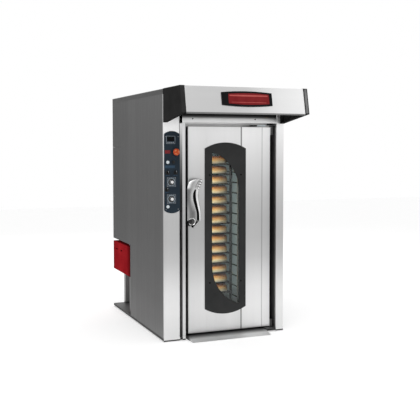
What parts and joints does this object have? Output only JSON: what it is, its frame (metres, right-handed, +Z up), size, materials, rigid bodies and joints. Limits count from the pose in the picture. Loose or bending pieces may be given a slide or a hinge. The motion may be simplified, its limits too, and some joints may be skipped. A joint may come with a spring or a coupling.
{
  "type": "rotating rack oven",
  "caption": "Free-standing bakery oven: a tray rack turns in a tall chamber behind a glazed side-hinged door, with control column, extraction hood and rear burner.",
  "frame": {"origin": "on the floor, under the middle of the whole outline, hood and ramp included", "axes": "+X to the right seen from the front, +Y from the door to the back, +Z up"},
  "size_m": [1.166, 2.136, 2.26],
  "materials": {
    "front_steel": "fine vertical brushing, satin",
    "side_steel": "dull brushed steel, darker than the front",
    "galvanised": "plain zinc-grey sheet",
    "chamber_steel": "heat-dulled stainless sheet",
    "cap_black": "satin black enamel",
    "sign_black": "gloss black",
    "surround_black": "black enamel, semi-gloss",
    "clear_glass": "clear toughened glass",
    "seal_rubber": "black silicone",
    "black_plastic": "moulded black plastic",
    "handle_chrome": "polished cast metal",
    "knob_chrome": "satin chrome",
    "white_plastic": "white moulded plastic",
    "stop_red": "orange-red moulded plastic",
    "panel_navy": "dark blue-black membrane face",
    "cover_red": "red enamel",
    "motor_paint": "grey machine paint",
    "exchanger_iron": "oxidised heat-resisting steel",
    "tray_coating": "dark non-stick coating"
  },
  "bodies": {
    "casing": {"control_column": "front_steel", "right_column": "front_steel", "front_frame": "front_steel", "header_fascia": "front_steel", "hood_canopy": "front_steel", "threshold_ramp": "front_steel", "left_side_panel": "side_steel", "left_access_panel": "side_steel", "right_side_panel": "side_steel", "roof_panel": "side_steel", "base_frame": "galvanised", "rear_panel": "galvanised", "combustion_housing": "galvanised", "chamber_liner": "chamber_steel", "air_supply_panel": "chamber_steel", "hood_end_cap_left": "cap_black", "hood_end_cap_right": "cap_black", "hood_sign_panel": "sign_black", "control_panel": "panel_navy", "burner_cover": "cover_red", "burner": "motor_paint", "fan_motor": "motor_paint", "rack_gearmotor": "motor_paint", "heat_exchanger": "exchanger_iron"},
    "door": {"door_leaf": "front_steel", "door_inner_panel": "chamber_steel", "door_seal": "seal_rubber", "window_surround": "surround_black", "window_glass": "clear_glass", "window_inner_glass": "clear_glass", "handle_rose": "black_plastic"},
    "handle": {"door_handle": "handle_chrome"},
    "rack": {"turntable": "chamber_steel", "rack_side_left": "chamber_steel", "rack_side_right": "chamber_steel", "rack_top": "chamber_steel", "tray_01": "tray_coating", "tray_02": "tray_coating", "tray_03": "tray_coating", "tray_04": "tray_coating", "tray_05": "tray_coating", "tray_06": "tray_coating", "tray_07": "tray_coating", "tray_08": "tray_coating", "tray_09": "tray_coating", "tray_10": "tray_coating", "tray_11": "tray_coating", "tray_12": "tray_coating", "tray_13": "tray_coating", "tray_14": "tray_coating"},
    "fan": {"fan_impeller": "galvanised"},
    "emergency_stop": {"emergency_stop": "stop_red"},
    "start_button": {"start_button": "white_plastic"},
    "stop_button": {"stop_button": "black_plastic"},
    "selector_left": {"selector_left": "black_plastic"},
    "selector_right": {"selector_right": "black_plastic"},
    "timer_knob_upper": {"timer_knob_upper": "knob_chrome"},
    "light_switch": {"light_switch": "black_plastic"},
    "timer_knob_lower": {"timer_knob_lower": "knob_chrome"},
    "steam_button": {"steam_button": "white_plastic"}
  },
  "joints": [
    {"name": "door_hinge", "type": "hinge", "parent": "casing", "child": "door", "pos_m": [0.487, -0.533, 0.96], "axis": [0, 0, 1], "range_deg": [0, 100]},
    {"name": "handle_turn", "type": "hinge", "parent": "door", "child": "handle", "pos_m": [-0.316, -0.573, 1.046], "axis": [0, 1, 0], "range_deg": [0, 60]},
    {"name": "rack_turn", "type": "hinge", "parent": "casing", "child": "rack", "pos_m": [-0.055, -0.063, 0.9], "axis": [0, 0, 1], "continuous": true},
    {"name": "fan_spin", "type": "hinge", "parent": "casing", "child": "fan", "pos_m": [0.15, 0.602, 1.88], "axis": [0, 1, 0], "continuous": true},
    {"name": "emergency_stop_press", "type": "slide", "parent": "casing", "child": "emergency_stop", "axis": [0, 1, 0], "range_m": [0, 0.006], "stiffness_N_per_m": 500},
    {"name": "start_button_press", "type": "slide", "parent": "casing", "child": "start_button", "axis": [0, 1, 0], "range_m": [0, 0.004], "stiffness_N_per_m": 400},
    {"name": "stop_button_press", "type": "slide", "parent": "casing", "child": "stop_button", "axis": [0, 1, 0], "range_m": [0, 0.004], "stiffness_N_per_m": 400},
    {"name": "selector_left_turn", "type": "hinge", "parent": "casing", "child": "selector_left", "pos_m": [-0.545, -0.603, 1.48], "axis": [0, 1, 0], "range_deg": [-45, 45]},
    {"name": "selector_right_turn", "type": "hinge", "parent": "casing", "child": "selector_right", "pos_m": [-0.473, -0.603, 1.481], "axis": [0, 1, 0], "range_deg": [-45, 45]},
    {"name": "timer_knob_upper_turn", "type": "hinge", "parent": "casing", "child": "timer_knob_upper", "pos_m": [-0.512, -0.603, 1.399], "axis": [0, 1, 0], "range_deg": [0, 300]},
    {"name": "light_switch_turn", "type": "hinge", "parent": "casing", "child": "light_switch", "pos_m": [-0.552, -0.603, 1.335], "axis": [0, 1, 0], "range_deg": [-30, 30]},
    {"name": "timer_knob_lower_turn", "type": "hinge", "parent": "casing", "child": "timer_knob_lower", "pos_m": [-0.512, -0.603, 1.252], "axis": [0, 1, 0], "range_deg": [0, 300]},
    {"name": "steam_button_press", "type": "slide", "parent": "casing", "child": "steam_button", "axis": [0, 1, 0], "range_m": [0, 0.004], "stiffness_N_per_m": 400}
  ]
}
